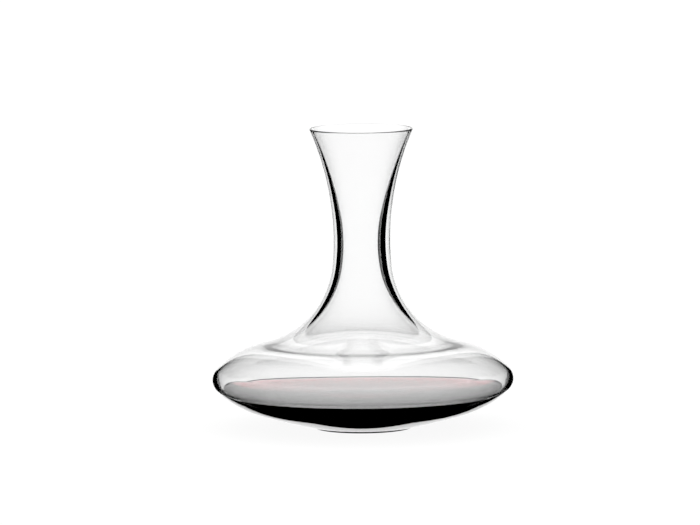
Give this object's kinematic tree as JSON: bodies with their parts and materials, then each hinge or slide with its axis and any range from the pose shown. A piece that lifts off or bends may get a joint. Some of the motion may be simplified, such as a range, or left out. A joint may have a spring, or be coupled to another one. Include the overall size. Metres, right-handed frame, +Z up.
{
  "type": "wine decanter",
  "caption": "Open wine decanter in clear blown glass: wide shallow bowl, waisted neck with a flared lip, and red wine in the bowl.",
  "frame": {"origin": "centre of the foot, on the surface that the decanter stands on", "axes": "+Z up, along the axis of revolution from foot to lip; the vessel is round, so X and Y are any two level directions"},
  "size_m": [0.23, 0.23, 0.2296],
  "materials": {
    "clear_glass": "polished",
    "red_wine": "polished"
  },
  "bodies": {
    "root": {"glass_vessel": "clear_glass", "red_wine": "red_wine"}
  },
  "joints": []
}
